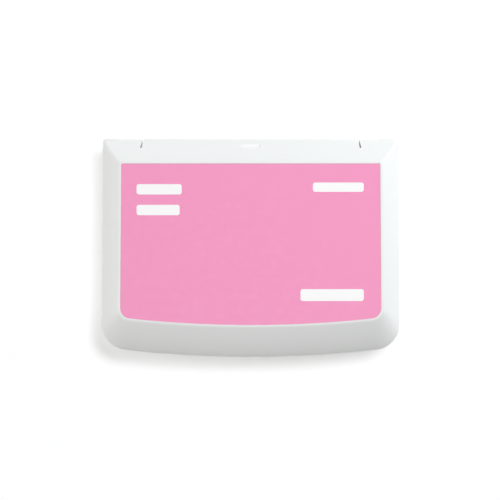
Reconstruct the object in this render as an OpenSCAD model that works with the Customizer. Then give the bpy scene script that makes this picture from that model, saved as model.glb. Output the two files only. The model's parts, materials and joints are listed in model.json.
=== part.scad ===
// Hinged ink pad: a white plastic case whose lid swings back flat, with a cloth-covered felt pad inside.
// Millimetres. +X is the width, +Y points to the hinge, +Z is up. The origin is under the middle of the case.

/* [Case] */
// Width of the lid, side to side
case_w = 116.5; // [115:0.5:122]
// Depth of the lid, from the hinge edge to the middle of the bowed front
case_d = 85.25; // [84:0.25:90]
// Height of the closed case
case_h = 20; // [20:0.5:22]
// Thickness of the lid and base walls
wall = 1.6; // [1.4:0.1:1.8]
// Gap between the lid's lower edge and the base's upper edge
parting = 0.3; // [0.2:0.05:0.5]

/* [Lid bevels] */
// Plan width of the bevel along each side
side_bevel = 7.2; // [6.5:0.1:7.2]
// Plan width of the bevel along the hinge edge
rear_bevel = 9.4; // [8.8:0.1:9.6]
// Plan width of the rounded bevel along the front
front_bevel = 12.15; // [11.5:0.05:13]
// Height of the upright skirt's upper edge above the hinge axis
skirt_rise = 2; // [1.9:0.1:2.2]
// Radius of the front corners in plan
corner_r = 10; // [8:0.5:12]
// Radius of the bowed front edge in plan
bow_r = 435; // [380:5:600]

/* [Ink pad] */
// Width of the inking surface
pad_w = 90; // [86:0.5:90]
// Depth of the inking surface
pad_d = 50; // [46:0.5:50]
// Height of the inking surface above its frame
pad_proud = 0.6; // [0.3:0.1:1]
// Thickness of the cover cloth
cloth_t = 0.3; // [0.2:0.05:0.4]

/* [Hinge] */
// Distance of the hinge axis from the lid's hinge edge
axis_inset = 2.3; // [2.3:0.05:2.5]
// Radius of the hinge pins
pin_r = 1; // [0.8:0.05:1.1]
// Radius of the hinge barrels
barrel_r = 2.2; // [2:0.05:2.25]
// Radial clearance of a pin in the lid's barrel
pin_play = 0.05; // [0.02:0.01:0.1]

/* [Hidden] */
$fn = 48;

white = [0.95, 0.96, 0.96];
soft_white = [0.90, 0.91, 0.91];
pink = [0.95, 0.62, 0.77];
ink_pink = [0.90, 0.45, 0.65];
cut = 1;                                  // how far a cutting shape runs past the face it opens

// Case
half_w = case_w / 2;
rear_y = case_d / 2;
front_y = -case_d / 2;
rear_narrow = 0.4;                        // the sides draw in by this much towards the hinge
rear_corner_r = 1.2;
corner_steps = 10;
bow_steps = 14;
rear_steps = 3;

// Hinge
axis_y = rear_y - axis_inset;
axis_z = case_h / 2;                      // half the height, so that the open lid lies level with the base
lug_in = 42.4;                            // the base's barrel, from the middle plane
lug_out = 50;
ear_in = 50.3;                            // the lid's barrel
ear_out = half_w - rear_narrow - wall;
pin_end = ear_out - 0.2;

// Lid
skirt_z = axis_z - 0.4 + parting;         // the lid's lower edge
edge_z = axis_z + skirt_rise;             // where the skirt meets the bevels
skirt_draft = 0.45;                       // how far the skirt leans in by its upper edge
bevel_h = case_h - edge_z;
bevel_steps = 7;
side_sag = 0.40;                          // how far each bevel bulges, as a share of its width
rear_sag = 0.08;
front_sag = 0.50;
top_corner_r = 4.4;
corner_swell = 6;                         // rounds the front corners more halfway up
slant_wall = 1.4 * wall;                  // a sloping wall measured level
label_t = 0.15;
label_border = 0.75;                      // the flat rim left round the label
label_sunk = 0.2;
label_w = case_w - 2 * (side_bevel + label_border);
pocket_gap = 0.1;

// Base
base_z = axis_z - 0.4;                    // the base's upper edge
base_rear = axis_y - 2.9;                 // the upright face that the lid's edge swings past
base_tail = rear_y - 0.9;                 // the base's rear face lower down
base_front = front_y + 2.7;               // set back, so that the lid's bow is a lip for a finger
base_side = half_w - 0.3;
floor_t = 1.6;
panel_depth = 0.4;                        // the sunk panel for the underside label
panel_size = [72, 42];

// Pad
pad_y = 1.7;                              // the pad's middle, level with the middle of the lid's flat top
fit = 0.05;
felt_lip = 1.2;                           // how far the frame's edge covers the felt
felt_size = [pad_w + 2 * felt_lip, pad_d + 2 * felt_lip];
cloth_size = felt_size + [2 * cloth_t, 2 * cloth_t];
well_size = cloth_size + [2 * fit, 2 * fit];
well_wall = 1.4;
well_outer = well_size + [2 * well_wall, 2 * well_wall];
well_floor_z = floor_t + 1.4;
reservoir_t = 4;
rim_z = axis_z + 1;                       // the top of the well's wall, and of the clamped cloth
frame_t = 1.2;
frame_size = well_outer + [2.6, 2.6];
deck_t = 1.4;
deck_half = base_side - wall - 0.4;
deck_rear = base_rear - wall - 0.2;
deck_front = base_front + wall + 0.5;
locating_h = 1.9;                         // the lip that stands up inside the lid's skirt
locating_t = 1.2;

// Liner
ring_gap = 0.8;                           // between the frame and the liner's ring
ring_t = 1.2;
ring_in = frame_size + [2 * ring_gap, 2 * ring_gap];
ring_out = ring_in + [2 * ring_t, 2 * ring_t];
seal_t = 1.2;
seal_z = base_z + 0.1;
liner_z = axis_z + 5.2;
liner_t = 1.2;
stakes = [[38, 25], [-38, 25], [38, -25], [-38, -25]];
stake_r = 1.2;

// ---- Outlines ----

function arc(centre, r, from, to, steps) =
    [for (i = [0:steps]) let (a = from + (to - from) * i / steps) centre + r * [cos(a), sin(a)]];

// The case in plan, anticlockwise from the rear right corner. Straight sides and back, round front corners
// and a bowed front; every outline has the same number of points, so that two of them can be joined.
function outline(half, rear, front, corner, small) =
    let (bow_y = front + bow_r,
         corner_y = bow_y - sqrt(pow(bow_r - corner, 2) - pow(half - corner, 2)),
         lean = asin((half - corner) / (bow_r - corner)),
         rear_x = half - rear_narrow - small)
    concat(
        arc([rear_x, rear - small], small, 0, 90, rear_steps),
        arc([-rear_x, rear - small], small, 90, 180, rear_steps),
        arc([corner - half, corner_y], corner, 180, 270 - lean, corner_steps),
        [for (i = [1:bow_steps - 1]) let (a = 270 - lean + 2 * lean * i / bow_steps)
            [bow_r * cos(a), bow_y + bow_r * sin(a)]],
        arc([half - corner, corner_y], corner, 270 + lean, 360, corner_steps));

// A closed solid through a stack of outlines, each given as [height, outline].
module loft(rings) {
    n = len(rings[0][1]);
    last = len(rings) - 1;
    points = [for (r = rings) for (p = r[1]) [p[0], p[1], r[0]]];
    walls = [for (k = [0:last - 1]) for (i = [0:n - 1]) let (j = (i + 1) % n)
        each [[k * n + i, k * n + n + i, k * n + n + j], [k * n + i, k * n + n + j, k * n + j]]];
    bottom = [for (i = [0:n - 1]) i];
    top = [for (i = [n - 1:-1:0]) last * n + i];
    polyhedron(points, concat(walls, [bottom, top]), convexity = 4);
}

// A flat plate with round corners, centred on the pad.
module plate(size, r, low, high) {
    translate([0, pad_y, low])
        linear_extrude(high - low)
            union() {
                square([size[0] - 2 * r, size[1]], center = true);
                square([size[0], size[1] - 2 * r], center = true);
                for (x = [-1, 1], y = [-1, 1])
                    translate([x * (size[0] / 2 - r), y * (size[1] / 2 - r)]) circle(r);
            }
}

// A rectangular ring with round corners.
module ring(outer, outer_r, inner, inner_r, low, high) {
    difference() {
        plate(outer, outer_r, low, high);
        plate(inner, inner_r, low - cut, high + cut);
    }
}

module on_both_sides() {
    children();
    mirror([1, 0, 0]) children();
}

// A round bar along X, on the hinge axis.
module axis_bar(r, from, to) {
    translate([from, axis_y, axis_z]) rotate([0, 90, 0]) cylinder(r = r, h = to - from);
}

// ---- Lid ----

// The plan inset of a bevel at a share u of its height, from the skirt's lower edge.
function inset(width, sag, u) = skirt_draft + (width - skirt_draft) * u * (1 - sag * (1 - u));

// The lid's outline at a share u of the bevels' height, drawn in all round by more.
function lid_outline(u, more) =
    outline(half_w - inset(side_bevel, side_sag, u) - more,
            rear_y - inset(rear_bevel, rear_sag, u) - more,
            front_y + inset(front_bevel, front_sag, u) + more,
            corner_r - (corner_r - top_corner_r) * u + corner_swell * u * (1 - u) - 0.6 * more,
            rear_corner_r);

module lid_outside() {
    round_h = 0.35;                       // the softened edges above the skirt and round the flat top
    lean_left = skirt_draft * 2 * round_h / (edge_z - skirt_z);
    loft(concat(
        [[skirt_z, lid_outline(0, 0.15 - skirt_draft)],
         [skirt_z + 0.25, lid_outline(0, -skirt_draft)],
         [edge_z - 2 * round_h, lid_outline(0, -lean_left)],
         [edge_z, lid_outline(0, 0.12)]],
        [for (k = [1:bevel_steps - 1]) let (u = k / bevel_steps) [edge_z + bevel_h * u, lid_outline(u, 0)]],
        [[case_h - round_h, lid_outline(1, -0.35)],
         [case_h - 0.1, lid_outline(1, -0.05)],
         [case_h, lid_outline(1, 0.12)]]));
}

module lid_inside() {
    inner_top = case_h - wall;
    u_top = (inner_top - edge_z) / bevel_h;
    inner_steps = 5;
    loft(concat(
        [[skirt_z - cut, lid_outline(0, wall - skirt_draft)],
         [edge_z - wall / 2, lid_outline(0, wall)]],
        [for (k = [1:inner_steps]) let (u = u_top * k / inner_steps)
            [edge_z + bevel_h * u, lid_outline(u, slant_wall)]]));
}

// The label's outline, and that of the shallow pocket it lies in.
function label_outline(gap) =
    outline(label_w / 2 + gap, rear_y - rear_bevel - label_border + gap,
            front_y + front_bevel + label_border - gap, 4 + gap, 0.4 + gap);

// The barrels at the lid's rear corners, joined to the wall above them.
module lid_ears() {
    on_both_sides() {
        axis_bar(barrel_r, ear_in, ear_out + wall - 0.9);
        axis_bar(1.5, ear_in, ear_out + wall - 0.3);
        intersection() {
            translate([ear_in, axis_y - barrel_r, axis_z]) cube([ear_out + 0.8 - ear_in, 2 * barrel_r, 5]);
            lid_outside();
        }
    }
}

// Clears the base's barrels, and leaves the lid's lower edge above them.
module lug_notches() {
    room = 0.3;
    on_both_sides() {
        axis_bar(barrel_r + 2 * pin_play + room, lug_in - room, ear_in);
        translate([lug_in - room, axis_y, skirt_z - cut])
            cube([ear_in - lug_in + room, axis_inset + cut, edge_z + 0.2 - skirt_z + cut]);
    }
}

// The two slits that let the rear corners spring outwards over the pins.
module ear_slits() {
    slit_w = 0.6;
    slit_l = 3.9;
    on_both_sides()
        translate([42.1, rear_y, skirt_z - cut]) rotate([0, 0, 8])
            translate([-slit_w / 2, -slit_l, 0]) cube([slit_w, slit_l + cut, case_h]);
}

// A small level step in the middle of the rear bevel, where the moulding was fed.
module gate_step() {
    step_l = 7.5;
    step_w = 1.6;
    from_rear = 2.75;
    low = edge_z + (from_rear - step_w / 2 - skirt_draft) * bevel_h / (rear_bevel - skirt_draft);
    translate([0, rear_y - from_rear, low]) {
        translate([(step_w - step_l) / 2, -step_w / 2, 0]) cube([step_l - step_w, step_w, 2]);
        for (x = [-1, 1]) translate([x * (step_l - step_w) / 2, 0, 0]) cylinder(d = step_w, h = 2);
    }
}

// The springy tongue behind the lid's lip, with the bead that snaps under the tray's.
tongue_w = 12;
tongue_y = deck_front - 0.6;              // its inner face
bead_r = 0.4;
bead_gap = 0.8;
module snap_tongue() {
    low = skirt_z;
    translate([-tongue_w / 2, tongue_y - 1.2, low]) cube([tongue_w, 1.2, edge_z + 2.2 - low]);
    translate([-tongue_w / 2 + 1, tongue_y, low + bead_r]) rotate([0, 90, 0])
        cylinder(r = bead_r, h = tongue_w - 2);
}

// Posts that carry the liner, melted over beneath it.
module liner_stakes() {
    for (s = stakes) translate([s[0], pad_y + s[1], 0]) {
        translate([0, 0, liner_z + liner_t]) cylinder(r = 2.6, h = case_h - wall - liner_z - liner_t + 0.2);
        translate([0, 0, liner_z]) cylinder(r = stake_r, h = liner_t);
        translate([0, 0, liner_z - 0.6]) cylinder(r1 = 1.7, r2 = 2.2, h = 0.6);
    }
}

module lid_shell() color(white) difference() {
    union() {
        difference() {
            lid_outside();
            lid_inside();
        }
        lid_ears();
        snap_tongue();
        liner_stakes();
    }
    lug_notches();
    ear_slits();
    gate_step();
    on_both_sides() axis_bar(pin_r + pin_play, ear_in - cut, ear_out);
    translate([0, 0, case_h - label_sunk]) linear_extrude(cut) polygon(label_outline(pocket_gap));
}

module lid_label() color(pink)
    translate([0, 0, case_h - label_sunk]) linear_extrude(label_t) polygon(label_outline(0));

// The plate inside the lid that covers the pad, with a ring that reaches down round the pad's frame.
module lid_liner() color(soft_white) difference() {
    union() {
        plate(ring_out, 5.5, liner_z, liner_z + liner_t);
        ring(ring_out, 5.5, ring_in, 4.3, seal_z + seal_t, liner_z);
    }
    for (s = stakes) translate([s[0], pad_y + s[1], liner_z - cut])
        cylinder(r = stake_r, h = liner_t + 2 * cut);
}

// The soft strip on the ring's edge that closes on the tray's deck.
module lid_seal() color([0.80, 0.82, 0.84]) ring(ring_out, 5.5, ring_in, 4.3, seal_z, seal_z + seal_t);

// ---- Base ----

// The base's outline at a height, drawn in all round by more, and at the rear by rear_more as well. Its walls
// lean out a little towards the top, and the rear wall steps in so that the lid can swing down behind it.
function base_outline(z, more, rear_more = 0) =
    let (under = max(0, 1.5 - z),                         // the rounded lower edge
         tuck = 0.45 * under * under,
         lean = 0.9 * (1 - z / base_z),
         slope = bevel_h / rear_bevel,                    // the same slope as the lid's rear bevel
         rear = min(base_tail, max(base_rear, base_rear + (base_z - 1.9 - z) / slope)))
    outline(base_side - lean - tuck - more,
            rear - tuck - more - rear_more,
            base_front + 1.4 * lean + tuck + more,
            corner_r - 0.5 - 0.6 * more,
            rear_corner_r);

slope_top = base_z - 1.9;
slope_low = slope_top - (base_tail - base_rear) * bevel_h / rear_bevel;
base_levels = [0, 0.3, 0.8, 1.5, slope_low, slope_top, base_z];

module base_outside() loft([for (z = base_levels) [z, base_outline(z, 0)]]);

module base_inside() {
    levels = [floor_t, slope_low - wall / 2, slope_top - wall / 2, base_z + cut];
    loft([for (z = levels)
        [z, base_outline(min(z, base_z), wall, z > slope_low && z < slope_top ? slant_wall - wall : 0)]]);
}

// The barrels that hold the pins, on short arms behind the rear wall.
module base_lugs() {
    on_both_sides() {
        axis_bar(barrel_r, lug_in, lug_out);
        translate([lug_in, base_rear - wall, base_z - 1.2])
            cube([lug_out - lug_in, axis_y - base_rear + wall, 1.4]);
    }
}

// The scoop at the middle of the front wall, under the lid's lip.
module finger_scoop() {
    scoop_r = 26;
    translate([0, base_front - scoop_r + 1, base_z - 3.4]) {
        cylinder(r1 = scoop_r - 1.6, r2 = scoop_r, h = 3.4 + cut, $fn = 96);
    }
}

module base_shell() color(white) difference() {
    union() {
        difference() {
            base_outside();
            base_inside();
        }
        base_lugs();
    }
    finger_scoop();
    on_both_sides() axis_bar(pin_r, lug_in - cut, lug_out + cut);
    plate(panel_size, 2, -cut, panel_depth);
}

module base_label() color([0.93, 0.93, 0.92])
    plate(panel_size - [2, 2], 1.5, panel_depth - label_t, panel_depth);

// The drop-in tray: a deck that fills the base's mouth, a well for the felt, and a lip inside the lid's skirt.
module pad_tray() color(white) {
    deck = outline(deck_half, deck_rear, deck_front, corner_r - 2, rear_corner_r);
    inner = outline(deck_half - locating_t, deck_rear - locating_t, deck_front + locating_t,
                    corner_r - 2 - locating_t, 0.6);
    difference() {
        union() {
            translate([0, 0, base_z - deck_t]) linear_extrude(deck_t) polygon(deck);
            difference() {
                translate([0, 0, base_z - deck_t]) linear_extrude(deck_t + locating_h) polygon(deck);
                translate([0, 0, base_z]) linear_extrude(locating_h + cut) polygon(inner);
            }
            plate(well_outer, 3.5, floor_t, rim_z);
            translate([-tongue_w / 2, deck_front, skirt_z + bead_r + bead_gap]) rotate([0, 90, 0])
                cylinder(r = bead_r, h = tongue_w);
        }
        plate(well_size, 2.1, well_floor_z, rim_z + cut);
    }
}

// ---- Pad ----

felt_top = rim_z - cloth_t;
plateau = [pad_w - 1 - 2 * cloth_t, pad_d - 1 - 2 * cloth_t];
crown_z = rim_z + frame_t + pad_proud - cloth_t;

module reservoir_felt() color(ink_pink) plate(felt_size, 1.8, well_floor_z, well_floor_z + reservoir_t);

module top_felt() color(ink_pink) {
    plate(felt_size, 1.8, well_floor_z + reservoir_t, felt_top);
    plate(plateau, 1.7, felt_top, crown_z);
}

// The woven cover: over the crown, out under the frame, and down between the felt and the well.
module pad_cloth() color(pink) difference() {
    union() {
        plate(cloth_size, 2.1, felt_top - 3, rim_z);
        plate(plateau + [2 * cloth_t, 2 * cloth_t], 2, felt_top, crown_z + cloth_t);
    }
    plate(felt_size, 1.8, felt_top - 3 - cut, felt_top);
    plate(plateau, 1.7, felt_top - cut, crown_z);
}

// The frame that clamps the cloth's edge down on the well.
module cloth_frame() color(white) {
    ring(frame_size, 4.8, [pad_w, pad_d], 2.2, rim_z, rim_z + frame_t);
    ring(frame_size, 4.8, well_outer + [0.2, 0.2], 3.6, base_z + 0.05, rim_z);
}

// ---- Hinge ----

module hinge_pin_right() color([0.75, 0.76, 0.78]) axis_bar(pin_r, lug_in + 0.3, pin_end);

module hinge_pin_left() mirror([1, 0, 0]) hinge_pin_right();

base_shell();
pad_tray();
reservoir_felt();
top_felt();
pad_cloth();
cloth_frame();
base_label();
hinge_pin_left();
hinge_pin_right();
lid_shell();
lid_liner();
lid_seal();
lid_label();
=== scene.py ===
"""An ink pad with a hinged lid, closed and seen from straight above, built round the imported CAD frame.

The case's two mouldings, the label, the pins, the cloth and the felts are modelled here; the tray, the
clamping frame, the liner, the seal and the underside label are the CAD's own solids with softened edges.
Lengths in this file are millimetres until a mesh is made. M turns them into metres.
"""

import json
import math

import bmesh
import bpy
from mathutils import Matrix, Vector, noise
from mathutils.geometry import delaunay_2d_cdt


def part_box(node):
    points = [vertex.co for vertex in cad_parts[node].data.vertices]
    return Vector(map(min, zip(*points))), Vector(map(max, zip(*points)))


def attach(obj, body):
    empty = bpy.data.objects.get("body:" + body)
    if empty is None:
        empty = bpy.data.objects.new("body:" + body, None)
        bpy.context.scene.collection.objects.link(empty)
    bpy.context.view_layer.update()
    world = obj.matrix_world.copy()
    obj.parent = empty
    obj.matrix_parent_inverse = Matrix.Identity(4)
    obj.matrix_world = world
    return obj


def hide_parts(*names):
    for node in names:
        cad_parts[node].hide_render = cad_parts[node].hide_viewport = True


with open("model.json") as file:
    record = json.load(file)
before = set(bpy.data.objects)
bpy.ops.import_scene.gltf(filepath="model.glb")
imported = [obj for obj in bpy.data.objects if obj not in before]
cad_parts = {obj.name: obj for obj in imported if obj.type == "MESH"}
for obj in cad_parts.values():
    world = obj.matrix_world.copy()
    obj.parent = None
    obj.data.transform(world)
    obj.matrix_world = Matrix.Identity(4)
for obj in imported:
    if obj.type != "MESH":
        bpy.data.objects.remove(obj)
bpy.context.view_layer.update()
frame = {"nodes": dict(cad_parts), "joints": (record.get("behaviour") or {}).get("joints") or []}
scene = bpy.context.scene
M = 0.001
NOISE_SEED = 7

noise.seed_set(NOISE_SEED)


def node_box(name):
    """A CAD node's lowest and highest corner, in millimetres."""
    return [[c / M for c in corner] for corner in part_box(name)]


# ---------------------------------------------------------------- sizes

lid_low, lid_high = node_box("lid_shell")
label_low, label_high = node_box("lid_label")
cloth_low, cloth_high = node_box("pad_cloth")
felt_low, felt_high = node_box("top_felt")
block_low, block_high = node_box("reservoir_felt")
rim_top = node_box("cloth_frame")[1][2]
pin_low, pin_high = node_box("hinge_pin_right")
axis_y, axis_z = [c / M for c in frame["joints"][0]["pos_m"][1:]]

# The case in plan: its extremes, the wall, the corners' radii and the bow of the front.
HALF_W = lid_high[0]
REAR_Y = lid_high[1]
FRONT_Y = lid_low[1]
TOP_Z = lid_high[2]
WALL = 1.6
SLANT_WALL = 1.4 * WALL
REAR_NARROW = 0.4
CORNER_R, TOP_CORNER_R, CORNER_SWELL = 10.0, 4.4, 6.0
CORNER_LOSS = 0.6  # what a front corner's radius loses for each millimetre that an outline is drawn in
REAR_R, REAR_R_LOSS = 1.2, 0.5
BOW_R = 435.0

# The lid's skirt and bevels. A sag above 0 rounds a bevel: steep at the skirt, flat at the top.
SKIRT_Z = axis_z - 0.1
EDGE_Z = axis_z + 2.0
BEVEL_H = TOP_Z - EDGE_Z
SKIRT_DRAFT = 0.45
SIDE_BEVEL, SIDE_SAG = 7.2, 0.40
REAR_BEVEL, REAR_SAG = 9.4, 0.08
FRONT_BEVEL, FRONT_SAG = 12.15, 0.50

# The slits beside the lid's rear corners, and the level step in its rear bevel.
SLIT_X, SLIT_TURN = 42.1, 8
SLIT_HALF, SLIT_DEPTH = 0.3, 3.6
GATE_FROM_REAR, GATE_LENGTH, GATE_WIDTH = 2.75, 7.5, 1.6

# The base's rim, the top of the slope at its back, its foot and its floor.
BASE_Z = axis_z - 0.4
SLOPE_TOP = BASE_Z - 1.9
BASE_REAR = axis_y - 2.9
BASE_TAIL = REAR_Y - 0.9
BASE_FRONT = FRONT_Y + 2.7
BASE_SIDE = HALF_W - 0.3
BASE_LEAN, BASE_FRONT_LEAN = 0.9, 1.4
FOOT_H, FOOT_TUCK = 1.5, 0.45
FLOOR_T = 1.6

# The hinge: the base's barrels (lugs), the lid's barrels (ears) outside them, and their bores.
LUG_IN, LUG_OUT, EAR_IN = 42.4, 50.0, 50.3
EAR_END = HALF_W - REAR_NARROW - WALL
BARREL_R, BARREL_END_R, BARREL_EASE = 2.2, 2.05, 0.15
LUG_BORE_R, EAR_BORE_R = 1.02, 1.05
LUG_GAP, LUG_ROOM = 0.3, 0.4

# The lid's springy tongue and its bead.
TONGUE_Y = BASE_FRONT + WALL - 0.1
TONGUE_HALF, TONGUE_T = 6, 1.2
BEAD_R = 0.4

# The posts that carry the liner, and the liner's height and thickness.
STAKE_X, STAKE_Y, STAKE_MID_Y = 38.0, 25.0, 1.7
LINER_Z = axis_z + 5.2
LINER_T = 1.2

# The label's corners, and the plain bars of its print: x from, x to, y of the middle, height.
LABEL_R, LABEL_REAR_R, LABEL_EASE = 4.0, 0.4, 0.05
BAR_R = 0.9
BARS = (
    (-44.0, -26.6, 22.6, 4.0),
    (-44.0, -27.4, 14.6, 4.0),
    (24.0, 43.6, 23.4, 3.6),
    (19.2, 43.6, -18.2, 4.6),
)

# Felt and cloth: the felts' sides draw in between the corners, the cloth rises over the felt's crown.
FELT_SHARE, FELT_PULL = 0.985, 0.012
FELT_UNEVEN, FELT_FIBRE = 0.05, 0.03
SHOULDER_R, SHOULDER_W = 2.0, 1.4
CLOTH_R, CLOTH_RISE_W, CLOTH_CROWN = 2.2, 2.4, 0.35
CLOTH_T, CLOTH_SPREAD = 0.2, 0.05
CLOTH_DROPS = (0.25, 0.6, 1.2, 1.9, 2.6, 3.2)
WEAVE_PITCH = 0.5


# ---------------------------------------------------------------- mesh tools


def arc(cx, cy, r, start, end, steps):
    """Points on an arc, both ends included, angles in degrees."""
    angles = [math.radians(start + (end - start) * i / steps) for i in range(steps + 1)]
    return [(cx + r * math.cos(a), cy + r * math.sin(a)) for a in angles]


def between(a, b, steps):
    """Points that divide a straight run, both ends left out."""
    return [tuple(a[k] + (b[k] - a[k]) * i / steps for k in (0, 1)) for i in range(1, steps)]


def outline(half, rear, front, corner, small):
    """The case in plan, anticlockwise from the rear right corner.

    The back and sides are straight, the front corners round (corner), the rear ones less so (small), and
    the front is bowed.
    """
    bow_y = front + BOW_R
    corner_y = bow_y - math.sqrt((BOW_R - corner) ** 2 - (half - corner) ** 2)
    lean = math.degrees(math.asin((half - corner) / (BOW_R - corner)))
    rear_x = half - REAR_NARROW - small
    rear_right = arc(rear_x, rear - small, small, 0, 90, 5)
    rear_left = arc(-rear_x, rear - small, small, 90, 180, 5)
    front_left = arc(corner - half, corner_y, corner, 180, 270 - lean, 18)
    front_right = arc(half - corner, corner_y, corner, 270 + lean, 360, 18)
    bow = arc(0, bow_y, BOW_R, 270 - lean, 270 + lean, 36)[1:-1]
    return (
        rear_right
        + between(rear_right[-1], rear_left[0], 24)
        + rear_left
        + between(rear_left[-1], front_left[0], 14)
        + front_left
        + bow
        + front_right
        + between(front_right[-1], rear_right[0], 14)
    )


def rounded(width, depth, r, cx=0.0, cy=0.0, steps=8):
    """A rectangle with round corners, anticlockwise."""
    points = []
    for sx, sy, start in ((1, 1, 0), (-1, 1, 90), (-1, -1, 180), (1, -1, 270)):
        points += arc(cx + sx * (width / 2 - r), cy + sy * (depth / 2 - r), r, start, start + 90, steps)
    return points


def loft(bm, rings):
    """A closed solid through a sequence of (height, outline), from the cap that faces down or inwards."""
    rows = [[bm.verts.new((x * M, y * M, z * M)) for x, y in points] for z, points in rings]
    for low, high in zip(rows, rows[1:]):
        n = len(low)
        for i in range(n):
            j = (i + 1) % n
            bm.faces.new((low[i], low[j], high[j], high[i]))
    bm.faces.new(rows[0][::-1])
    bm.faces.new(rows[-1])


def lathe(bm, profile, y, z, steps=48, mirror=False):
    """A solid of revolution about a line along X. Its (x, radius) list starts and ends at radius 0."""
    side = -1 if mirror else 1
    rows = []
    for x, r in profile:
        if r == 0:
            rows.append([bm.verts.new((side * x * M, y * M, z * M))])
            continue
        row = []
        for i in range(steps):
            a = 2 * math.pi * i / steps
            row.append(bm.verts.new((side * x * M, (y + r * math.cos(a)) * M, (z + r * math.sin(a)) * M)))
        rows.append(row)
    for low, high in zip(rows, rows[1:]):
        for i in range(steps):
            j = (i + 1) % steps
            ring = [low[0]] if len(low) == 1 else [low[i], low[j]]
            ring += [high[0]] if len(high) == 1 else [high[j], high[i]]
            bm.faces.new(ring if mirror else ring[::-1])


def prism(bm, points, low, high, place=None):
    """An upright solid from a plan outline, optionally moved by a matrix."""
    rows = [[bm.verts.new((x * M, y * M, z * M)) for x, y in points] for z in (low, high)]
    n = len(points)
    for i in range(n):
        j = (i + 1) % n
        bm.faces.new((rows[0][i], rows[0][j], rows[1][j], rows[1][i]))
    bm.faces.new(rows[0][::-1])
    bm.faces.new(rows[1])
    if place:
        bmesh.ops.transform(bm, matrix=place, verts=rows[0] + rows[1])


def rectangle(x0, x1, y0, y1):
    """A rectangle's corners, anticlockwise from the lowest x and y."""
    return [(x0, y0), (x1, y0), (x1, y1), (x0, y1)]


def to_object(bm, name, material=None):
    """Turns a bmesh into an object of the scene."""
    bmesh.ops.recalc_face_normals(bm, faces=bm.faces)
    mesh = bpy.data.meshes.new(name)
    bm.to_mesh(mesh)
    bm.free()
    obj = bpy.data.objects.new(name, mesh)
    scene.collection.objects.link(obj)
    if material:
        mesh.materials.append(material)
    return obj


def apply_modifiers(obj):
    """Bakes an object's modifiers into its mesh."""
    bpy.context.view_layer.update()
    graph = bpy.context.evaluated_depsgraph_get()
    mesh = bpy.data.meshes.new_from_object(obj.evaluated_get(graph), depsgraph=graph)
    obj.modifiers.clear()
    obj.data = mesh


def combine(obj, build, operation):
    """Adds to or cuts from obj the solids that build draws in a bmesh."""
    bm = bmesh.new()
    build(bm)
    tool = to_object(bm, obj.name + "_tool")
    modifier = obj.modifiers.new("tool", "BOOLEAN")
    modifier.operation = operation
    modifier.object = tool
    modifier.solver = "EXACT"
    apply_modifiers(obj)
    bpy.data.objects.remove(tool)


def smooth(obj, degrees=28):
    """Smooth shading, with the edges sharper than that left crisp."""
    mesh = obj.data
    mesh.polygons.foreach_set("use_smooth", [True] * len(mesh.polygons))
    mesh.set_sharp_from_angle(angle=math.radians(degrees))
    weighted = obj.modifiers.new("weighted", "WEIGHTED_NORMAL")
    weighted.keep_sharp = True


def soften(obj, width, degrees=35):
    """Rounds the edges of a CAD solid that stays in the scene."""
    weld = obj.modifiers.new("weld", "WELD")
    weld.merge_threshold = 0.002 * M
    bevel = obj.modifiers.new("bevel", "BEVEL")
    bevel.width = width * M
    bevel.segments = 2
    bevel.limit_method = "ANGLE"
    bevel.angle_limit = math.radians(degrees)
    bevel.harden_normals = True
    obj.data.polygons.foreach_set("use_smooth", [True] * len(obj.data.polygons))


# ---------------------------------------------------------------- materials


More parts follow.
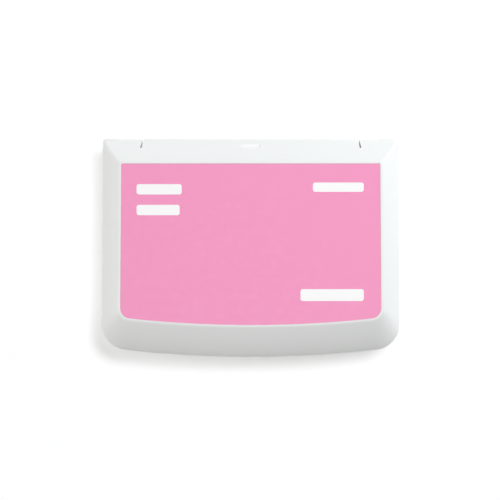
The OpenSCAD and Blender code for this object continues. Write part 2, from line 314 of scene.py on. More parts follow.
class Surface:
    """A Principled material with procedural colour, roughness and relief in the object's own space."""

    def __init__(self, name, color, roughness, **constants):
        self.material = bpy.data.materials.new(name)
        self.material.use_nodes = True
        self.tree = self.material.node_tree
        self.shader = self.tree.nodes["Principled BSDF"]
        self.shader.inputs["Base Color"].default_value = (*color, 1)
        self.shader.inputs["Roughness"].default_value = roughness
        for key, value in constants.items():
            self.shader.inputs[key.replace("_", " ")].default_value = value
        self.place = self.tree.nodes.new("ShaderNodeTexCoord").outputs["Object"]
        self.color = tuple(color)

    def node(self, kind, **settings):
        made = self.tree.nodes.new(kind)
        for key, value in settings.items():
            setattr(made, key, value)
        return made

    def link(self, a, b):
        self.tree.links.new(a, b)

    def noise(self, size, detail=2.0, roughness=0.5):
        """Noise whose features are about size millimetres across."""
        n = self.node("ShaderNodeTexNoise")
        n.inputs["Scale"].default_value = 1000.0 / size
        n.inputs["Detail"].default_value = detail
        n.inputs["Roughness"].default_value = roughness
        self.link(self.place, n.inputs["Vector"])
        return n.outputs["Fac"]

    def ramp(self, value, low, high, to_low, to_high):
        """Maps the value's run from low to high onto to_low to to_high, held at both ends."""
        r = self.node("ShaderNodeMapRange")
        r.inputs["From Min"].default_value = low
        r.inputs["From Max"].default_value = high
        r.inputs["To Min"].default_value = to_low
        r.inputs["To Max"].default_value = to_high
        self.link(value, r.inputs["Value"])
        return r.outputs["Result"]

    def math(self, operation, a, b=None):
        """A Math node's output; a and b are sockets or numbers."""
        m = self.node("ShaderNodeMath", operation=operation)
        for socket, value in zip(m.inputs, (a, b)):
            if value is None:
                continue
            if isinstance(value, (int, float)):
                socket.default_value = value
            else:
                self.link(value, socket)
        return m.outputs[0]

    def blend_color(self, factor, a, b):
        """A colour from a to b; either may be a socket."""
        mix = self.node("ShaderNodeMix", data_type="RGBA")
        self.link(factor, mix.inputs["Factor"])
        for name, value in (("A", a), ("B", b)):
            socket = [s for s in mix.inputs if s.name == name and s.type == "RGBA"][0]
            if isinstance(value, tuple):
                socket.default_value = (*value, 1)
            else:
                self.link(value, socket)
        return [s for s in mix.outputs if s.type == "RGBA"][0]

    def vary_roughness(self, value, low, high):
        """Lets the roughness run between low and high as the value does."""
        self.link(self.ramp(value, 0.3, 0.7, low, high), self.shader.inputs["Roughness"])

    def relief(self, height, depth, strength=1.0):
        """Relief whose full height is depth millimetres."""
        bump = self.node("ShaderNodeBump")
        bump.inputs["Strength"].default_value = strength
        bump.inputs["Distance"].default_value = depth * M
        self.link(height, bump.inputs["Height"])
        if self.shader.inputs["Normal"].is_linked:
            self.link(self.shader.inputs["Normal"].links[0].from_socket, bump.inputs["Normal"])
        self.link(bump.outputs["Normal"], self.shader.inputs["Normal"])

    def tint(self, factor, other):
        """Blends the colour so far towards another one."""
        socket = self.shader.inputs["Base Color"]
        now = socket.links[0].from_socket if socket.is_linked else self.color
        self.link(self.blend_color(factor, now, other), socket)

    def edge_highlight_mask(self, low=0.52, high=0.60):
        """1 on convex edges, 0 elsewhere: the mask of a painted highlight on edges."""
        pointiness = self.node("ShaderNodeNewGeometry").outputs["Pointiness"]
        return self.ramp(pointiness, low, high, 0.0, 1.0)


def scaled(color, k):
    """A colour made lighter or darker, held at 1."""
    return tuple(min(1.0, c * k) for c in color)


def moulded_plastic(name, color, roughness, grain=0.35, relief=0.006):
    """Satin moulded plastic: a fine grain, faint clouding, a painted highlight that makes convex edges
    slightly lighter, and very shallow waves.
    """
    s = Surface(name, color, roughness, IOR=1.5)
    cloudy = s.noise(38.0, 3.0)
    s.tint(s.ramp(cloudy, 0.35, 0.7, 0.0, 1.0), scaled(color, 0.985))
    # Painted highlight: convex edges made lighter, as if they caught the light.
    s.tint(s.math("MULTIPLY", s.edge_highlight_mask(), 0.35), scaled(color, 1.06))
    s.vary_roughness(s.noise(6.0, 4.0), roughness - 0.05, roughness + 0.06)
    s.relief(s.noise(grain, 2.0, 0.6), relief)
    s.relief(s.noise(14.0, 1.0), 0.02, 0.35)
    return s.material


white_plastic = moulded_plastic("white_plastic", (0.845, 0.85, 0.845), 0.42)
tray_plastic = moulded_plastic("tray_plastic", (0.80, 0.81, 0.81), 0.5, 0.25, 0.008)

label_face = Surface("pink_label", (0.905, 0.28, 0.525), 0.38, IOR=1.48)
label_face.tint(label_face.ramp(label_face.noise(0.18, 2.0), 0.35, 0.65, 0.0, 0.06), (0.80, 0.22, 0.44))
label_face.tint(label_face.ramp(label_face.noise(30.0, 2.0), 0.4, 0.7, 0.0, 0.05), (0.98, 0.42, 0.62))
label_face.vary_roughness(label_face.noise(2.5, 3.0), 0.34, 0.42)
label_face.relief(label_face.noise(0.5, 3.0), 0.002)

label_print = Surface("label_white", (0.96, 0.96, 0.96), 0.40, IOR=1.48)
label_print.tint(label_print.ramp(label_print.noise(0.18, 2.0), 0.35, 0.65, 0.0, 0.1), (0.94, 0.80, 0.86))
label_print.vary_roughness(label_print.noise(2.5, 3.0), 0.36, 0.44)
label_print.relief(label_print.noise(0.5, 3.0), 0.002)

paper = Surface("plain_paper", (0.86, 0.855, 0.84), 0.75, IOR=1.45)
paper.tint(paper.ramp(paper.noise(0.6, 4.0, 0.7), 0.3, 0.7, 0.0, 0.2), (0.76, 0.75, 0.72))
paper.vary_roughness(paper.noise(3.0, 3.0), 0.7, 0.8)
paper.relief(paper.noise(0.3, 4.0, 0.7), 0.01)

felt = Surface("inked_felt", (0.80, 0.20, 0.42), 0.85, Sheen_Weight=0.35, Sheen_Roughness=0.5)
felt.tint(felt.ramp(felt.noise(0.35, 5.0, 0.75), 0.3, 0.7, 0.0, 0.55), (0.62, 0.10, 0.28))
felt.tint(felt.ramp(felt.noise(9.0, 2.0), 0.4, 0.7, 0.0, 0.35), (0.90, 0.34, 0.55))
felt.vary_roughness(felt.noise(1.5, 3.0), 0.78, 0.92)
felt.relief(felt.noise(0.25, 5.0, 0.8), 0.12)

seal_rubber = Surface("soft_seal", (0.60, 0.62, 0.64), 0.6, IOR=1.45)
seal_rubber.tint(seal_rubber.ramp(seal_rubber.noise(5.0, 3.0), 0.35, 0.7, 0.0, 0.3), (0.52, 0.54, 0.56))
seal_rubber.vary_roughness(seal_rubber.noise(2.0, 3.0), 0.52, 0.68)
seal_rubber.relief(seal_rubber.noise(0.3, 3.0), 0.01)

steel = Surface("pin_steel", (0.62, 0.63, 0.65), 0.3, Metallic=1.0)
steel.tint(steel.ramp(steel.noise(0.4, 4.0), 0.35, 0.7, 0.0, 0.35), (0.50, 0.51, 0.53))
steel.vary_roughness(steel.noise(0.6, 4.0), 0.22, 0.40)
steel.relief(steel.noise(0.15, 3.0), 0.004)


def woven_cloth():
    """Plain weave, two threads to the millimetre, damp with ink and a little uneven in tone, with painted
    shade darkening the weave's hollows.
    """
    s = Surface("inked_cloth", (0.86, 0.27, 0.50), 0.6, Sheen_Weight=0.2, Sheen_Roughness=0.5)
    split = s.node("ShaderNodeSeparateXYZ")
    s.link(s.place, split.inputs[0])
    waves = []
    for axis in (0, 1):
        phase = s.math("MULTIPLY", split.outputs[axis], math.pi / (WEAVE_PITCH * M))
        waves.append(s.math("SINE", phase))
    cross = s.math("MULTIPLY", waves[0], waves[1])
    over = s.math("ABSOLUTE", cross)
    fibre = s.noise(0.12, 3.0, 0.7)
    height = s.math("ADD", over, s.math("MULTIPLY", fibre, 0.35))
    # Painted shade: the low places of the weave, between the threads, darkened towards a deep pink.
    s.tint(s.ramp(over, 0.0, 0.6, 0.7, 0.0), (0.58, 0.10, 0.27))
    s.tint(s.ramp(s.noise(24.0, 2.0), 0.35, 0.7, 0.0, 0.22), (0.90, 0.34, 0.57))
    s.tint(s.ramp(s.noise(1.6, 3.0, 0.6), 0.4, 0.7, 0.0, 0.18), (0.74, 0.18, 0.38))
    s.vary_roughness(s.noise(4.0, 3.0), 0.48, 0.72)
    s.relief(height, 0.10)
    return s.material


inked_cloth = woven_cloth()


# ---------------------------------------------------------------- the lid's moulding


def inset(width, sag, u):
    """A bevel's plan inset at a share u of its height, from the skirt's lower edge."""
    return SKIRT_DRAFT + (width - SKIRT_DRAFT) * u * (1 - sag * (1 - u))


def lid_outline(u, more=0.0):
    """The lid in plan at a share u of its bevels' height, drawn in all round by more."""
    return outline(
        HALF_W - inset(SIDE_BEVEL, SIDE_SAG, u) - more,
        REAR_Y - inset(REAR_BEVEL, REAR_SAG, u) - more,
        FRONT_Y + inset(FRONT_BEVEL, FRONT_SAG, u) + more,
        CORNER_R - (CORNER_R - TOP_CORNER_R) * u + CORNER_SWELL * u * (1 - u) - CORNER_LOSS * more,
        REAR_R - REAR_R_LOSS * u,
    )


def ramp_in(t, w):
    """0 below -w, t above w, and a smooth turn between."""
    if t < -w:
        return 0.0
    return t if t > w else (t + w) ** 2 / (4 * w)


def label_outline(gap):
    """The label in plan, or its pocket where gap is above 0."""
    half, rear, front = label_high[0] + gap, label_high[1] + gap, label_low[1] - gap
    return outline(half, rear, front, LABEL_R + gap, LABEL_REAR_R + gap)


def lid_rings():
    """The lid's rings: down the inside, round the skirt's edge, up the outside and into the pocket."""
    turn, crest = 0.09, 0.03  # shares of the bevels' height over which they turn into the skirt and the top
    lip = ((0.0, 0.22), (0.06, 0.07), (0.22, 0.0))  # the eased lower edge: up, back
    steps = [-turn + 2 * turn * i / 6 for i in range(7)]
    steps += [turn + (1 - crest - turn) * i / 16 for i in range(1, 17)]
    outside = [(SKIRT_Z + up, lid_outline(0, back - SKIRT_DRAFT)) for up, back in lip]
    for t in steps:
        lean = SKIRT_DRAFT * min(0.0, BEVEL_H * t / (EDGE_Z - SKIRT_Z))
        outside.append((EDGE_Z + BEVEL_H * t, lid_outline(ramp_in(t, turn), lean)))
    for i in range(1, 5):
        t = 1 - crest + 2 * crest * i / 4
        outside.append((TOP_Z - BEVEL_H * (1 + crest - t) ** 2 / (4 * crest), lid_outline(t)))
    pocket = [(TOP_Z - down, label_outline(gap)) for down, gap in ((0, 0.1), (0.03, 0.07), (0.2, 0.07))]
    inner_turn, inner_top, fillet = 0.1, TOP_Z - WALL, 0.5
    inside = [(SKIRT_Z + up, lid_outline(0, WALL - back - SKIRT_DRAFT)) for up, back in lip]
    last = (inner_top - fillet - EDGE_Z) / BEVEL_H
    for i in range(13):
        t = -inner_turn + (last + inner_turn) * i / 12
        u = ramp_in(t, inner_turn)
        thickness = WALL + (SLANT_WALL - WALL) * min(1, u / 0.25)
        inside.append((EDGE_Z + BEVEL_H * t, lid_outline(u, thickness)))
    for turned in (30, 60, 90):
        a = math.radians(turned)
        z = inner_top - fillet + fillet * math.sin(a)
        inside.append((z, lid_outline(last + 0.06 * (1 - math.cos(a)), SLANT_WALL)))
    return inside[::-1] + outside + pocket


def draw_ears(bm):
    """The lid's hinge barrels, with domed outer ends that run into its side walls."""
    profile = [(EAR_IN, 0), (EAR_IN, BARREL_END_R), (EAR_IN + BARREL_EASE, BARREL_R)]
    dome = ((0.4, BARREL_R), (0.8, 1.9), (1.1, 1.4), (1.2, 0.9), (1.2, 0))
    profile += [(EAR_END + past, r) for past, r in dome]
    for mirror in (False, True):
        lathe(bm, profile, axis_y, axis_z, mirror=mirror)


def draw_webs(bm):
    """The webs that join those barrels to the lid above them."""
    rear, fore = axis_y + 1.9, axis_y - 2.1
    low, edge, high = axis_z, axis_z + 2.0, axis_z + 4.4
    web_out = 55.0
    section = [(fore, low), (rear, low), (rear, edge), (fore + 1.1, high), (fore, high)]
    for side in (-1, 1):
        xs = sorted((side * EAR_IN, side * web_out))
        rows = [[bm.verts.new((x * M, y * M, z * M)) for y, z in section] for x in xs]
        for i in range(len(section)):
            j = (i + 1) % len(section)
            bm.faces.new((rows[0][j], rows[0][i], rows[1][i], rows[1][j]))
        bm.faces.new(rows[0])
        bm.faces.new(rows[1][::-1])


def draw_tongue(bm):
    """The springy tongue behind the lid's lip."""
    points = rectangle(-TONGUE_HALF, TONGUE_HALF, TONGUE_Y - TONGUE_T, TONGUE_Y)
    prism(bm, points, SKIRT_Z, EDGE_Z + 2.2)


def draw_bead(bm):
    """The bead along the tongue, which clicks under the one on the tray."""
    profile = [(-5, 0), (-5, 0.25), (-4.8, BEAD_R), (4.8, BEAD_R), (5, 0.25), (5, 0)]
    lathe(bm, profile, TONGUE_Y, SKIRT_Z + BEAD_R, steps=20)


def draw_posts(bm):
    """Posts that carry the liner, with their melted heads beneath it."""
    head = ((-0.62, 1.25), (-0.5, 1.75), (-0.2, 2.1), (0, 2.15))
    shank = ((0, 1.2), (LINER_T, 1.2), (LINER_T, 2.6))
    rings = [(LINER_Z + up, r) for up, r in head + shank] + [(TOP_Z - WALL + 0.3, 2.6)]
    for x in (-STAKE_X, STAKE_X):
        for y in (STAKE_MID_Y - STAKE_Y, STAKE_MID_Y + STAKE_Y):
            loft(bm, [(z, arc(x, y, r, 0, 350, 35)) for z, r in rings])


def draw_lug_room(bm):
    """The room that the base's barrels turn in."""
    r, start = BARREL_R + LUG_ROOM, LUG_IN - LUG_GAP
    profile = [(start, 0), (start, r), (EAR_IN, r), (EAR_IN, 0)]
    for mirror in (False, True):
        lathe(bm, profile, axis_y, axis_z, mirror=mirror)


def draw_lug_gaps(bm):
    """The notches in the rear skirt that those barrels stand in."""
    for side in (-1, 1):
        x0, x1 = sorted((side * (LUG_IN - LUG_GAP), side * EAR_IN))
        prism(bm, rectangle(x0, x1, axis_y, REAR_Y + 1), SKIRT_Z - 1, EDGE_Z + 0.2)


def draw_slits(bm):
    """The two slits beside the rear corners: open to the rear edge, round at their blind ends."""
    slit = [(SLIT_HALF, 1.0), (-SLIT_HALF, 1.0)] + arc(0, -SLIT_DEPTH, SLIT_HALF, 180, 360, 8)
    for side in (-1, 1):
        turn = Matrix.Rotation(math.radians(side * SLIT_TURN), 4, "Z")
        place = Matrix.Translation((side * SLIT_X * M, REAR_Y * M, 0)) @ turn
        prism(bm, slit, SKIRT_Z - 1, TOP_Z + 1, place)


def draw_gate(bm):
    """The small level step in the rear bevel."""
    r = GATE_WIDTH / 2
    low = EDGE_Z + (GATE_FROM_REAR - r - SKIRT_DRAFT) * BEVEL_H / (REAR_BEVEL - SKIRT_DRAFT)
    ends = (GATE_LENGTH - GATE_WIDTH) / 2
    y = REAR_Y - GATE_FROM_REAR
    points = arc(ends, y, r, -90, 90, 12) + arc(-ends, y, r, 90, 270, 12)
    prism(bm, points, low, low + 3)


def draw_bores(bm):
    """The bores in the lid's barrels."""
    profile = [(EAR_IN - 1, 0), (EAR_IN - 1, EAR_BORE_R), (EAR_END, EAR_BORE_R), (EAR_END, 0)]
    for mirror in (False, True):
        lathe(bm, profile, axis_y, axis_z, steps=32, mirror=mirror)


def make_lid():
    """The lid's moulding: a lofted shell with its barrels, tongue and posts, cut by the slits and bores."""
    bm = bmesh.new()
    loft(bm, lid_rings())
    lid = to_object(bm, "lid_moulding", white_plastic)
    for build in (draw_ears, draw_webs, draw_tongue, draw_bead, draw_posts):
        combine(lid, build, "UNION")
    for build in (draw_lug_room, draw_lug_gaps, draw_slits, draw_gate, draw_bores):
        combine(lid, build, "DIFFERENCE")
    smooth(lid)
    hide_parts("lid_shell")
    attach(lid, "lid")


# ---------------------------------------------------------------- the label on the lid


def make_label():
    """A thin printed label. Plain white bars stand where the print is."""
    low, high = label_low[2], label_high[2]
    edge = label_outline(0)
    inner = label_outline(-LABEL_EASE)
    loops = [inner] + [rounded(x1 - x0, h, BAR_R, (x0 + x1) / 2, y, 6) for x0, x1, y, h in BARS]
    points, rims = [], []
    for loop in loops:
        start = len(points)
        points += [Vector(p) for p in loop]
        rims += [(start + i, start + (i + 1) % len(loop)) for i in range(len(loop))]
    verts, _, faces = delaunay_2d_cdt(points, rims, [], 1, 1e-6)[:3]
    bm = bmesh.new()
    top = [bm.verts.new((v.x * M, v.y * M, high * M)) for v in verts]
    for f in faces:
        centre = sum((verts[i] for i in f), Vector((0, 0))) / len(f)
        face = bm.faces.new([top[i] for i in f])
        if face.normal.z < 0:
            face.normal_flip()
        inside = any(x0 < centre.x < x1 and abs(centre.y - y) < h / 2 for x0, x1, y, h in BARS)
        face.material_index = 1 if inside else 0
    rows = [[bm.verts.new((x * M, y * M, z * M)) for x, y in edge] for z in (high - LABEL_EASE, low)]
    rim = [min(top, key=lambda v: (v.co.x / M - x) ** 2 + (v.co.y / M - y) ** 2) for x, y in inner]
    rows.insert(0, rim)
    for a, b in zip(rows, rows[1:]):
        for i in range(len(a)):
            j = (i + 1) % len(a)
            bm.faces.new((a[i], b[i], b[j], a[j]))
    bm.faces.new(rows[-1][::-1])
    label = to_object(bm, "lid_label_sheet", label_face.material)
    label.data.materials.append(label_print.material)
    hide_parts("lid_label")
    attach(label, "lid")


# ---------------------------------------------------------------- the base's moulding


def base_outline(z, more=0.0, rear_more=0.0):
    """The base in plan at a height, drawn in all round by more and at the back by rear_more as well."""
    under = max(0.0, FOOT_H - z)
    tuck = FOOT_TUCK * under * under
    lean = BASE_LEAN * (1 - z / BASE_Z)
    slope = BEVEL_H / REAR_BEVEL
    rear = min(BASE_TAIL, max(BASE_REAR, BASE_REAR + (SLOPE_TOP - z) / slope))
    return outline(
        BASE_SIDE - lean - tuck - more,
        rear - tuck - more - rear_more,
        BASE_FRONT + BASE_FRONT_LEAN * lean + tuck + more,
        CORNER_R - 0.5 - CORNER_LOSS * more,
        REAR_R,
    )


def base_rings():
    """The base's rings: from the underside, up the outside, over the rim and down to the floor."""
    slope_low = SLOPE_TOP - (BASE_TAIL - BASE_REAR) * BEVEL_H / REAR_BEVEL
    heights = (0, 0.08, 0.2, 0.4, 0.65, 0.95, 1.3, 1.6, 2.6)
    heights += (slope_low, slope_low + 0.01, (slope_low + SLOPE_TOP) / 2)
    heights += (SLOPE_TOP, SLOPE_TOP + 0.5, BASE_Z - 0.2)
    outside = [(z, base_outline(z)) for z in heights]
    rim = [
        (BASE_Z - 0.06, base_outline(BASE_Z, 0.05)),
        (BASE_Z, base_outline(BASE_Z, 0.2)),
        (BASE_Z, base_outline(BASE_Z, WALL - 0.2)),
    ]
    under_slope = SLOPE_TOP - WALL / 2
    inside = [
        (BASE_Z - 0.2, base_outline(BASE_Z - 0.2, WALL)),
        (under_slope, base_outline(under_slope, WALL, SLANT_WALL - WALL)),
        (slope_low - WALL / 2, base_outline(slope_low, WALL)),
        (FLOOR_T + 0.4, base_outline(FLOOR_T + 0.4, WALL)),
        (FLOOR_T + 0.1, base_outline(FLOOR_T, WALL + 0.12)),
        (FLOOR_T, base_outline(FLOOR_T, WALL + 0.4)),
    ]
    return outside + rim + inside


def draw_lugs(bm):
    """The base's hinge barrels."""
    profile = [(LUG_IN, 0), (LUG_IN, BARREL_END_R), (LUG_IN + BARREL_EASE, BARREL_R)]
    profile += [(LUG_OUT - BARREL_EASE, BARREL_R), (LUG_OUT, BARREL_END_R), (LUG_OUT, 0)]
    for mirror in (False, True):
        lathe(bm, profile, axis_y, axis_z, mirror=mirror)


def draw_arms(bm):
    """The arms that join those barrels to the base's rim."""
    for side in (-1, 1):
        x0, x1 = sorted((side * (LUG_IN + 0.05), side * (LUG_OUT - 0.05)))
        prism(bm, rectangle(x0, x1, BASE_REAR - WALL + 0.1, axis_y), BASE_Z - 1.2, BASE_Z + 0.15)


def draw_scoop(bm):
    """The scoop under the lid's lip, for a fingertip."""
    r, depth = 26.0, 3.4
    low = BASE_Z - depth
    rings = [(low, r - 1.6), (low + depth + 1, r + 0.47)]
    loft(bm, [(z, arc(0, BASE_FRONT - r + 1, rr, 0, 357, 119)) for z, rr in rings])


def draw_pin_holes(bm):
    """The bores in the base's barrels."""
    profile = [(LUG_IN - 1, 0), (LUG_IN - 1, LUG_BORE_R), (LUG_OUT + 1, LUG_BORE_R), (LUG_OUT + 1, 0)]
    for mirror in (False, True):
        lathe(bm, profile, axis_y, axis_z, steps=32, mirror=mirror)


def draw_panel(bm):
    """The sunk panel under the base that the paper label lies in, 1 mm wider than it all round."""
    low, high = node_box("base_label")
    width, depth = high[0] - low[0] + 2, high[1] - low[1] + 2
    points = rounded(width, depth, 2.0, 0, (low[1] + high[1]) / 2)
    prism(bm, points, -1, high[2])


def make_base():
    """The base's moulding: a lofted tray with its barrels, cut by the scoop, the bores and the panel."""
    bm = bmesh.new()
    loft(bm, base_rings())
    base = to_object(bm, "base_moulding", white_plastic)
    for build in (draw_lugs, draw_arms):
        combine(base, build, "UNION")
    for build in (draw_scoop, draw_pin_holes, draw_panel):
        combine(base, build, "DIFFERENCE")
    smooth(base)
    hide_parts("base_shell")
    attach(base, "base")


# ---------------------------------------------------------------- pins


def make_pin(side):
    """A plain steel pin with eased ends, in the bores on one side."""
    mirror = side == "left"
    r = (pin_high[2] - pin_low[2]) / 2
    x0, x1 = pin_low[0], pin_high[0]
    profile = [(x0, 0), (x0, r - 0.25), (x0 + 0.1, r - 0.08), (x0 + 0.3, r), (x1 - 0.5, r)]
    profile += [(x1 - 0.2, r - 0.12), (x1, r - 0.4), (x1, 0)]
    bm = bmesh.new()
    lathe(bm, profile, axis_y, axis_z, steps=40, mirror=mirror)
    pin = to_object(bm, f"steel_pin_{side}", steel.material)
    smooth(pin)
    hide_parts(f"hinge_pin_{side}")
    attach(pin, "base")


# ---------------------------------------------------------------- felts and cloth


def superbox(x, y, half_x, half_y, r):
    """How far a plan point is inside a rectangle with round corners, in millimetres."""
    dx = max(0.0, abs(x) - (half_x - r))
    dy = max(0.0, abs(y) - (half_y - r))
    return r - math.hypot(dx, dy) if dx or dy else min(half_x - abs(x), half_y - abs(y))


def felt_block(name, low, high, node, crown=0.0, step_half=None, step_z=None):
    """A block of felt: softened edges, sides a little pulled in between the corners, an uneven surface."""
    cx, cy = (low[0] + high[0]) / 2, (low[1] + high[1]) / 2
    half_x, half_y = (high[0] - low[0]) / 2, (high[1] - low[1]) / 2
    bm = bmesh.new()
    bmesh.ops.create_cube(bm, size=1.0)
    bmesh.ops.subdivide_edges(bm, edges=bm.edges, cuts=40, use_grid_fill=True)
    for v in bm.verts:
        a, b, c = v.co.x * 2, v.co.y * 2, v.co.z + 0.5
        x = a * half_x * (FELT_SHARE - FELT_PULL * (1 - b * b) * abs(a) ** 6)
        y = b * half_y * (FELT_SHARE - FELT_PULL * (1 - a * a) * abs(b) ** 6)
        rounding = 0.5 * (abs(a) ** 24 + abs(b) ** 24)
        z = low[2] + (high[2] - low[2]) * c + (0.5 - c) * rounding
        if step_half and c > 0.5:
            inside = superbox(x, y, step_half[0], step_half[1], SHOULDER_R)
            shoulder = min(1.0, max(0.0, inside / SHOULDER_W))
            z = min(z, step_z + (high[2] - crown - step_z) * shoulder * (2 - shoulder))
            z += crown * (1 - a * a) * (1 - b * b) * (c - 0.5) * 2
        p = Vector((x, y, z))
        p += FELT_UNEVEN * noise.noise_vector(p * 0.9) + FELT_FIBRE * noise.noise_vector(p * 3.1)
        z_safe = min(max(p.z, low[2]), high[2])
        v.co = Vector(((cx + p.x) * M, (cy + p.y) * M, z_safe * M))
    block = to_object(bm, name, felt.material)
    smooth(block, 60)
    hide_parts(node)
    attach(block, "base")


def cloth_height(x, y, pad):
    """The cloth's height over the crowned pad, at a plan point inside the frame's opening or outside it."""
    half_x, half_y = pad["half"]
    inside = superbox(x, y, half_x, half_y, CLOTH_R)
    share = min(1.0, max(0.0, inside / CLOTH_RISE_W))
    rise = 1 - (1 - share) ** 2
    crown = CLOTH_CROWN * (1 - (x / half_x) ** 2) * (1 - (y / half_y) ** 2)
    return pad["foot"] + (pad["top"] - CLOTH_CROWN - pad["foot"]) * rise + max(0.0, crown)


def cloth_sheet(half_x, half_y, pad):
    """The cloth as one sheet of faces: the part over the felt, then the edge turned down into the well."""
    nx, ny = 148, 84
    bm = bmesh.new()
    grid = []
    for j in range(ny + 1):
        row = []
        for i in range(nx + 1):
            a, b = 2 * i / nx - 1, 2 * j / ny - 1
            x, y = a * (half_x - CLOTH_SPREAD), b * (half_y - CLOTH_SPREAD)
            row.append(bm.verts.new((x * M, y * M, cloth_height(x, y, pad) * M)))
        grid.append(row)
    for j in range(ny):
        for i in range(nx):
            bm.faces.new((grid[j][i], grid[j][i + 1], grid[j + 1][i + 1], grid[j + 1][i]))
    border = grid[0][:-1] + [row[-1] for row in grid[:-1]]
    border += grid[-1][:0:-1] + [row[0] for row in grid[:0:-1]]
    upper = border
    for drop in CLOTH_DROPS:
        ring = []
        out = min(1.0, drop / 0.3) * CLOTH_SPREAD * M
        for v in border:
            x, y = v.co.x, v.co.y
            if abs(x) > (half_x - 0.1) * M:
                x += math.copysign(out, x)
            if abs(y) > (half_y - 0.1) * M:
                y += math.copysign(out, y)
            ring.append(bm.verts.new((x, y, (pad["foot"] - drop) * M)))
        for i in range(len(ring)):
            j = (i + 1) % len(ring)
            bm.faces.new((upper[i], ring[i], ring[j], upper[j]))
        upper = ring
    bmesh.ops.recalc_face_normals(bm, faces=bm.faces)
    return bm


def make_cloth():
    """The woven cover: stretched over the felt, clamped under the frame and turned down into the well."""
    low, high = cloth_low, cloth_high
    cx, cy = (low[0] + high[0]) / 2, (low[1] + high[1]) / 2
    half_x, half_y = (high[0] - low[0]) / 2, (high[1] - low[1]) / 2
    pad = {"half": (half_x - 2.0, half_y - 2.0), "foot": rim_top - 1.22, "top": high[2] - 0.02}
    cloth = to_object(cloth_sheet(half_x, half_y, pad), "inked_cloth_cover", inked_cloth)
    if cloth.data.polygons[len(cloth.data.polygons) // 2].normal.z < 0:
        cloth.data.flip_normals()
    start = [v.co.copy() for v in cloth.data.vertices]
    held = cloth.vertex_groups.new(name="held")
    for v in cloth.data.vertices:
        inside = superbox(v.co.x / M, v.co.y / M, pad["half"][0], pad["half"][1], CLOTH_R)
        if inside < 0.3:
            held.add([v.index], 1.0, "REPLACE")
    settle(cloth, start)
    shift = Vector((cx * M, cy * M, 0))
    for v in cloth.data.vertices:
        v.co += shift
    thick = cloth.modifiers.new("thickness", "SOLIDIFY")
    thick.thickness = CLOTH_T * M
    thick.offset = -1.0
    smooth(cloth, 60)
    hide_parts("pad_cloth")
    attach(cloth, "base")


def settle(cloth, start):
    """Lets the cloth relax under the pad's upward push; no point may move further than the cap."""
    last_frame, cap = 14, 0.18 * M
    modifier = cloth.modifiers.new("cloth", "CLOTH")
    settings = modifier.settings
    settings.quality = 6
    settings.mass = 0.2
    settings.tension_stiffness = 12
    settings.compression_stiffness = 12
    settings.shear_stiffness = 4
    settings.bending_stiffness = 0.3
    settings.vertex_group_mass = "held"
    settings.use_pressure = True
    settings.uniform_pressure_force = 1.2
    settings.shrink_min = -0.004
    settings.effector_weights.gravity = 0
    modifier.point_cache.frame_start = 1
    modifier.point_cache.frame_end = last_frame
    for number in range(1, last_frame + 1):
        scene.frame_set(number)
    graph = bpy.context.evaluated_depsgraph_get()
    moved = [v.co.copy() for v in cloth.evaluated_get(graph).data.vertices]
    cloth.modifiers.clear()
    scene.frame_set(1)
    for v, a, b in zip(cloth.data.vertices, start, moved):
        step = b - a
        if step.length > cap:
            step *= cap / step.length
        v.co = a + step


# ---------------------------------------------------------------- the CAD's own solids


def dress(node, material, width):
    """Gives a CAD solid its material, and edges softened by width."""
    obj = frame["nodes"][node]
    for s in obj.material_slots:
        s.material = material
    soften(obj, width)


# ---------------------------------------------------------------- stage, light and camera


def make_floor():
    """A white table just under the object, lit a little from within so that it stays the palest thing."""
    s = Surface("floor_white", (0.84, 0.84, 0.84), 0.9)
    s.shader.inputs["Specular IOR Level"].default_value = 0.0
    s.shader.inputs["Emission Color"].default_value = (1, 1, 1, 1)
    s.shader.inputs["Emission Strength"].default_value = 0.245
    bm = bmesh.new()
    bmesh.ops.create_grid(bm, x_segments=4, y_segments=4, size=3.0)
    floor = to_object(bm, "floor", s.material)
    floor.location.z = -0.00003


def area_light(name, azimuth, elevation, share, width, height, color, distance=3.0):
    """A soft panel, in metres, that faces the object. Azimuth 0 is +X and 90 the hinge side.

    Share is the brightness that the panel gives a white face turned to it.
    """
    white_albedo = 0.85
    a, e = math.radians(azimuth), math.radians(elevation)
    direction = Vector((math.cos(a) * math.cos(e), math.sin(a) * math.cos(e), math.sin(e)))
    data = bpy.data.lights.new(name, "AREA")
    data.shape = "RECTANGLE"
    data.size, data.size_y = width, height
    data.energy = share * math.pi**2 * distance**2 / white_albedo
    data.color = color
    light = bpy.data.objects.new(name, data)
    light.location = direction * distance
    light.rotation_euler = direction.to_track_quat("Z", "Y").to_euler()
    light.visible_camera = False
    scene.collection.objects.link(light)


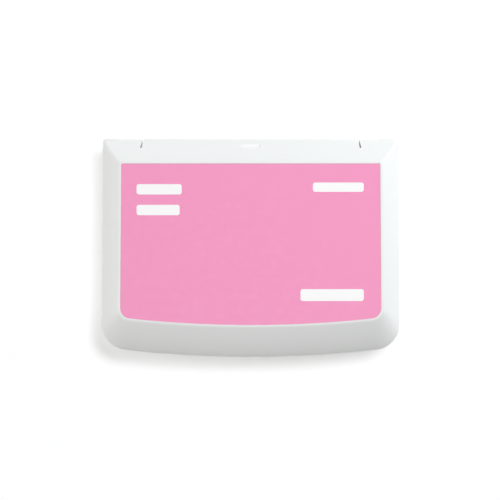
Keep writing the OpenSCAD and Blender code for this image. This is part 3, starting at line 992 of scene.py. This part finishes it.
def make_lights():
    """Six soft panels, and a world that the camera sees as white but that lights the object only faintly."""
    area_light("panel_key", 47, 58, 0.44, 1.6, 0.9, (0.97, 0.99, 1.0))
    area_light("panel_right", 26, 13, 0.305, 0.36, 0.16, (0.90, 0.975, 1.0), 0.4)
    area_light("panel_rear", 110, 12, 0.06, 2, 1, (0.87, 0.95, 1.0))
    area_light("panel_left", 180, 12, 0.115, 2, 1, (1.0, 0.995, 0.97))
    area_light("panel_left_high", 183, 44, 0.20, 1.8, 1.2, (1.0, 0.995, 0.97))
    area_light("panel_above", -90, 88, 0.21, 1.2, 1.2, (1.0, 0.995, 0.965))
    world = bpy.data.worlds.new("studio")
    world.use_nodes = True
    scene.world = world
    tree = world.node_tree
    back = tree.nodes["Background"]
    back.inputs["Color"].default_value = (0.97, 0.98, 1.0, 1)
    path = tree.nodes.new("ShaderNodeLightPath")
    level = tree.nodes.new("ShaderNodeMapRange")
    fill, seen = 0.06, 1.0
    level.inputs["To Min"].default_value = fill
    level.inputs["To Max"].default_value = seen
    tree.links.new(path.outputs["Is Camera Ray"], level.inputs["Value"])
    tree.links.new(level.outputs["Result"], back.inputs["Strength"])


def make_camera():
    """Straight above the case, from 0.7 m over the edge of its lid."""
    distance, frame_width, sensor = 700.0, 195.0, 36.0
    centre_x, centre_y = -0.27, -0.82
    data = bpy.data.cameras.new("camera")
    data.sensor_width = sensor
    data.lens = sensor * distance / frame_width
    camera = bpy.data.objects.new("camera", data)
    camera.location = (centre_x * M, centre_y * M, (EDGE_Z + distance) * M)
    scene.collection.objects.link(camera)
    scene.camera = camera
    scene.view_settings.view_transform = "Standard"


make_camera()
make_floor()
make_lights()
make_lid()
make_label()
make_base()
for side in ("left", "right"):
    make_pin(side)
felt_block("felt_block", block_low, block_high, "reservoir_felt")
felt_block(
    "inked_felt_pad",
    felt_low,
    [felt_high[0], felt_high[1], felt_high[2] - 0.1],
    "top_felt",
    crown=0.3,
    step_half=(44.2, 24.2),
    step_z=rim_top - 1.6,
)
make_cloth()
for node in ("pad_tray", "cloth_frame", "lid_liner"):
    dress(node, tray_plastic, 0.18)
dress("lid_seal", seal_rubber.material, 0.3)
dress("base_label", paper.material, 0.03)
